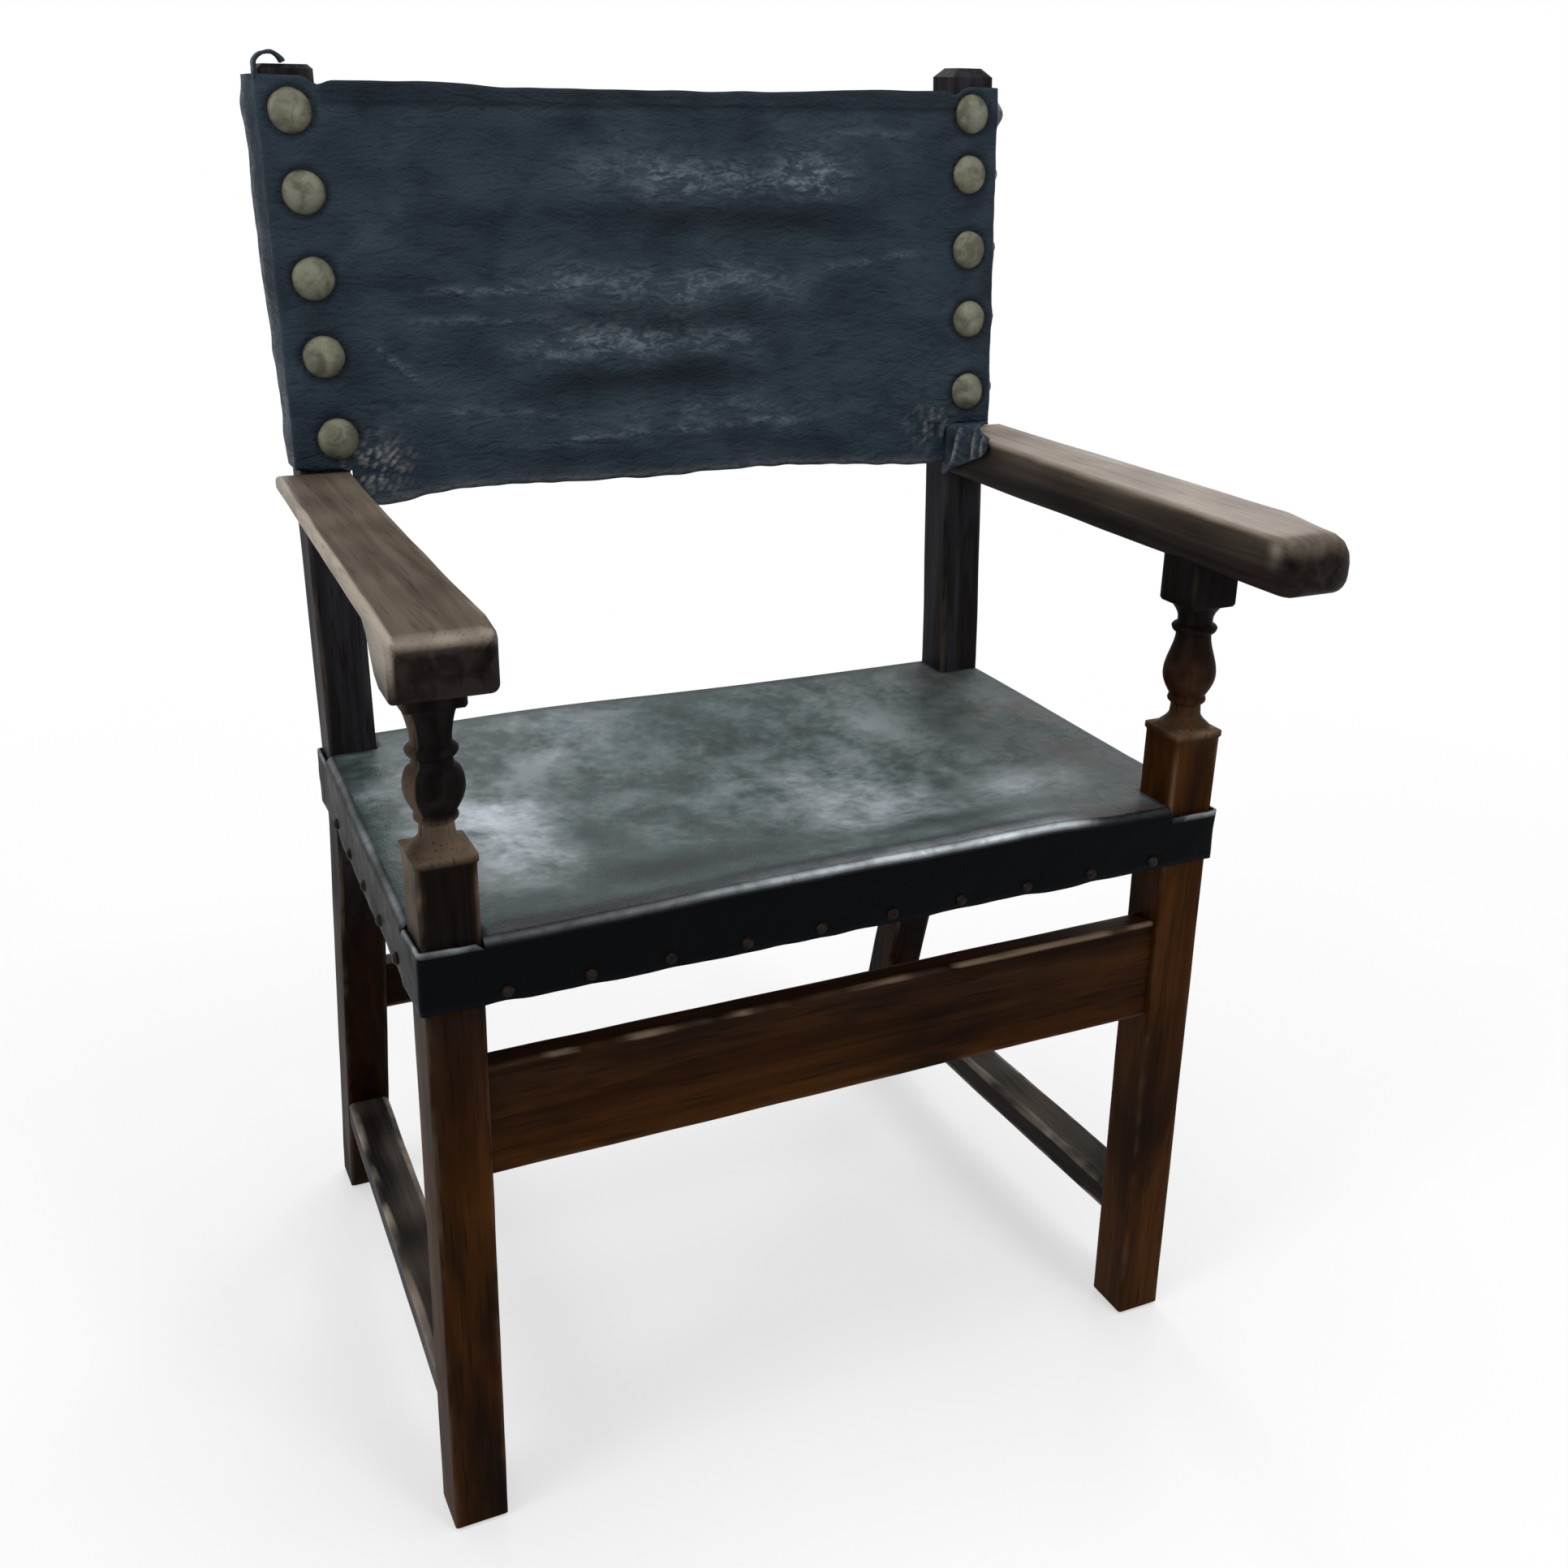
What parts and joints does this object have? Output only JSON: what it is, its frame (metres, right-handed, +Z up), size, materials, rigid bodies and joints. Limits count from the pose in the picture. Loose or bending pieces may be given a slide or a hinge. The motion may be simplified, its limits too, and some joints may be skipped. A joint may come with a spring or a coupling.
{
  "type": "friars chair",
  "caption": "Period armchair with a dark joined wood frame, turned front legs, flat arms, a slung leather seat and a leather back held by large domed nails.",
  "frame": {"origin": "on the floor, under the middle of the chair's bounding box", "axes": "+Z up, -Y toward the front of the chair, +X toward the right arm as seen from the front"},
  "size_m": [0.668, 0.5756, 1.012],
  "materials": {
    "dark_wood": "dark stained, waxed and rubbed",
    "worn_wood": "dark stain worn pale by hands and feet",
    "seat_hide": "smooth dark hide with a worn sheen",
    "back_hide": "dark creased hide",
    "dull_brass": "dull, tarnished",
    "dull_iron": "dull, dark"
  },
  "bodies": {
    "root": {"front_leg_left": "dark_wood", "front_leg_right": "dark_wood", "back_post_left": "dark_wood", "back_post_right": "dark_wood", "arm_left": "worn_wood", "arm_right": "worn_wood", "front_stretcher": "dark_wood", "rear_stretcher": "dark_wood", "side_stretcher_left": "worn_wood", "side_stretcher_right": "worn_wood", "seat_rail_front": "dark_wood", "seat_rail_back": "dark_wood", "seat_rail_left": "dark_wood", "seat_rail_right": "dark_wood", "seat_leather": "seat_hide", "back_leather": "back_hide", "back_nail_left_1": "dull_brass", "back_nail_left_2": "dull_brass", "back_nail_left_3": "dull_brass", "back_nail_left_4": "dull_brass", "back_nail_left_5": "dull_brass", "back_nail_right_1": "dull_brass", "back_nail_right_2": "dull_brass", "back_nail_right_3": "dull_brass", "back_nail_right_4": "dull_brass", "back_nail_right_5": "dull_brass", "seat_tack_front_1": "dull_iron", "seat_tack_front_2": "dull_iron", "seat_tack_front_3": "dull_iron", "seat_tack_front_4": "dull_iron", "seat_tack_front_5": "dull_iron", "seat_tack_front_6": "dull_iron", "seat_tack_front_7": "dull_iron", "seat_tack_front_8": "dull_iron", "seat_tack_front_9": "dull_iron", "seat_tack_front_10": "dull_iron", "seat_tack_left_1": "dull_iron", "seat_tack_left_2": "dull_iron", "seat_tack_left_3": "dull_iron", "seat_tack_left_4": "dull_iron", "seat_tack_left_5": "dull_iron", "seat_tack_right_1": "dull_iron", "seat_tack_right_2": "dull_iron", "seat_tack_right_3": "dull_iron", "seat_tack_right_4": "dull_iron", "seat_tack_right_5": "dull_iron"}
  },
  "joints": []
}
